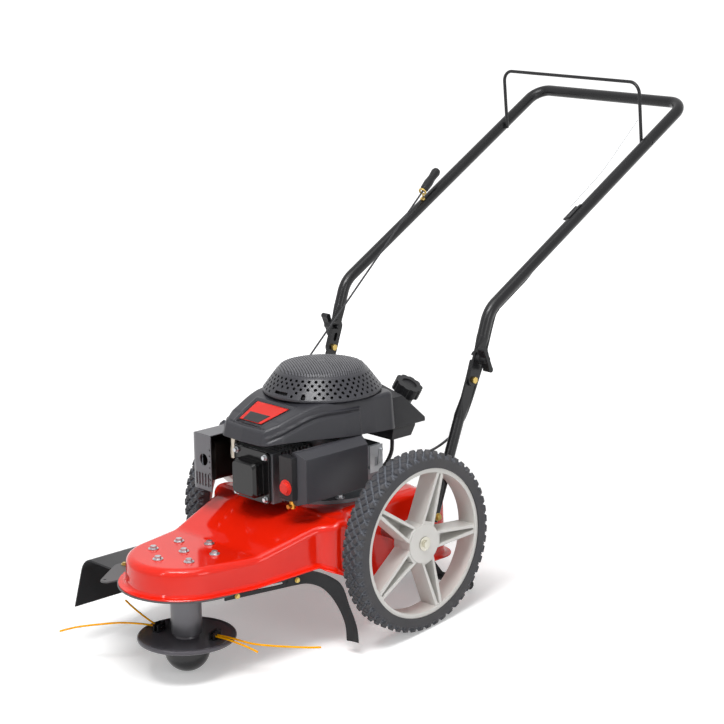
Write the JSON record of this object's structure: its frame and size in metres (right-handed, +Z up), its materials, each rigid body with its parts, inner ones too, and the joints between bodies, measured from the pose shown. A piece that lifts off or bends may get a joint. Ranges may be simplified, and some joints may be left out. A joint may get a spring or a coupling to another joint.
{
  "type": "wheeled string trimmer",
  "caption": "Walk-behind string trimmer with a belt-driven line head over a ground ball, a pressed deck, a small engine, tall treaded wheels and a folding handle with a control bail.",
  "frame": {"origin": "middle of the box round the trimmer, on the ground", "axes": "+Y to the rear, from the cutting head to the crossbar; +Z up; +X to the operator's right hand seen from the front, square to the wheels' rolling direction"},
  "size_m": [0.5342, 1.4622, 0.9192],
  "materials": {
    "red_paint": "gloss powder coat",
    "black_paint": "satin powder coat",
    "grey_coat": "satin grey coat",
    "moulded_grey": "fine grain moulded",
    "moulded_black": "moulded",
    "rim_plastic": "moulded light grey",
    "tread_rubber": "moulded rubber",
    "soft_rubber": "moulded rubber",
    "red_rubber": "moulded rubber",
    "bright_steel": "turned",
    "zinc": "zinc plated",
    "yellow_zinc": "yellow zinc plated",
    "cast_alloy": "die cast",
    "muffler_steel": "heat tinted",
    "brass": "machined",
    "trimmer_line": "extruded"
  },
  "bodies": {
    "chassis": {"deck_shell": "red_paint", "deck_pan": "grey_coat", "spindle_housing": "grey_coat", "spindle_bearings": "bright_steel", "spindle_bolts": "zinc", "left_deflector": "moulded_black", "right_shield": "moulded_black", "shield_screws": "yellow_zinc", "axle": "bright_steel", "hub_bolts": "zinc", "lower_handle_left": "black_paint", "lower_handle_right": "black_paint", "handle_brackets": "black_paint", "handle_bolts": "yellow_zinc", "engine_block": "cast_alloy", "engine_bolts": "zinc", "valve_cover": "black_paint", "muffler": "muffler_steel", "muffler_guard": "black_paint", "spark_plug": "muffler_steel", "blower_shroud": "moulded_grey", "recoil_dome": "moulded_grey", "air_cleaner_base": "moulded_black", "air_cleaner_cover": "moulded_grey", "carburettor": "cast_alloy", "brass_fittings": "brass", "fuel_tank": "moulded_black", "fuel_hose": "soft_rubber", "control_bracket": "zinc", "drive_belt": "soft_rubber", "cable_lower": "moulded_black", "starter_rope": "soft_rubber"},
    "crank": {"crankshaft": "bright_steel", "flywheel": "cast_alloy", "engine_pulley": "cast_alloy"},
    "recoil": {"recoil_pulley": "moulded_black"},
    "head": {"spindle_shaft": "bright_steel", "spindle_pulley": "cast_alloy", "cutting_disc": "grey_coat", "ground_ball": "moulded_black", "line_anchors": "moulded_black", "line_left": "trimmer_line", "line_right": "trimmer_line"},
    "left_wheel": {"left_tyre": "tread_rubber", "left_rim": "rim_plastic"},
    "right_wheel": {"right_tyre": "tread_rubber", "right_rim": "rim_plastic"},
    "handle": {"upper_handle": "black_paint", "rope_guide": "yellow_zinc", "cable_clip": "moulded_black", "cable_upper": "moulded_black", "bail_wire": "bright_steel"},
    "control_bail": {"bail": "black_paint"},
    "left_wing_knob": {"left_knob": "moulded_black"},
    "right_wing_knob": {"right_knob": "moulded_black"},
    "grip": {"starter_grip": "moulded_black"},
    "flap": {"trailing_flap": "soft_rubber"},
    "tank_cap": {"fuel_cap": "moulded_black"},
    "primer": {"primer_bulb": "red_rubber"},
    "brake": {"brake_lever": "zinc"}
  },
  "joints": [
    {"name": "left_wheel_roll", "type": "hinge", "parent": "chassis", "child": "left_wheel", "pos_m": [-0.237, -0.20943, 0.178], "axis": [1, 0, 0], "continuous": true},
    {"name": "right_wheel_roll", "type": "hinge", "parent": "chassis", "child": "right_wheel", "pos_m": [0.237, -0.20943, 0.178], "axis": [1, 0, 0], "continuous": true},
    {"name": "crank_spin", "type": "hinge", "parent": "chassis", "child": "crank", "pos_m": [0, -0.2134, 0.35757], "axis": [0, 0.1117, 0.9937], "continuous": true},
    {"name": "head_spin", "type": "hinge", "parent": "chassis", "child": "head", "pos_m": [0, -0.6013, 0.12946], "axis": [0, 0.1117, 0.9937], "continuous": true},
    {"name": "handle_fold", "type": "hinge", "parent": "chassis", "child": "handle", "pos_m": [0, 0.00988, 0.43713], "axis": [1, 0, 0], "range_deg": [0, 140], "deforming": ["starter_rope", "cable_lower"]},
    {"name": "bail_press", "type": "hinge", "parent": "handle", "child": "control_bail", "pos_m": [0, 0.5819, 0.78996], "axis": [-1, 0, 0], "range_deg": [0, 63], "stiffness_Nm_per_rad": 0.6, "springref_deg": -17.19, "deforming": ["bail_wire"]},
    {"name": "brake_pull", "type": "hinge", "parent": "chassis", "child": "brake", "pos_m": [0.1114, -0.16441, 0.32791], "axis": [1, 0, 0], "range_deg": [0, 14]},
    {"name": "left_knob_turn", "type": "hinge", "parent": "handle", "child": "left_wing_knob", "pos_m": [-0.215, 0.02876, 0.47687], "axis": [-1, 0, 0], "range_deg": [0, 720]},
    {"name": "right_knob_turn", "type": "hinge", "parent": "handle", "child": "right_wing_knob", "pos_m": [0.215, 0.02876, 0.47687], "axis": [-1, 0, 0], "range_deg": [0, 720]},
    {"name": "recoil_wind", "type": "hinge", "parent": "chassis", "child": "recoil", "pos_m": [0, -0.20168, 0.46191], "axis": [0, 0.1117, 0.9937], "range_deg": [0, 495], "stiffness_Nm_per_rad": 0.05, "springref_deg": -229.18},
    {"name": "starter_pull", "type": "slide", "parent": "handle", "child": "grip", "axis": [-0.178, 0.8748, 0.4505], "range_m": [0, 0.45]},
    {"name": "flap_swing", "type": "hinge", "parent": "chassis", "child": "flap", "pos_m": [0, -0.08963, 0.08001], "axis": [1, 0, 0], "range_deg": [0, 35]},
    {"name": "cap_turn", "type": "hinge", "parent": "chassis", "child": "tank_cap", "pos_m": [0.054, -0.03191, 0.39654], "axis": [0.4649, 0.236, 0.8533], "range_deg": [0, 120]},
    {"name": "primer_press", "type": "slide", "parent": "chassis", "child": "primer", "axis": [0, 0.9937, -0.1117], "range_m": [0, 0.005], "stiffness_N_per_m": 900, "springref_m": -0.002}
  ],
  "couplings": [
    {"joint": "head_spin", "follows": "crank_spin", "ratio": 0.91667},
    {"joint": "brake_pull", "follows": "bail_press", "ratio": 0.22222},
    {"joint": "starter_pull", "follows": "recoil_wind", "m_per_rad": 0.052}
  ]
}
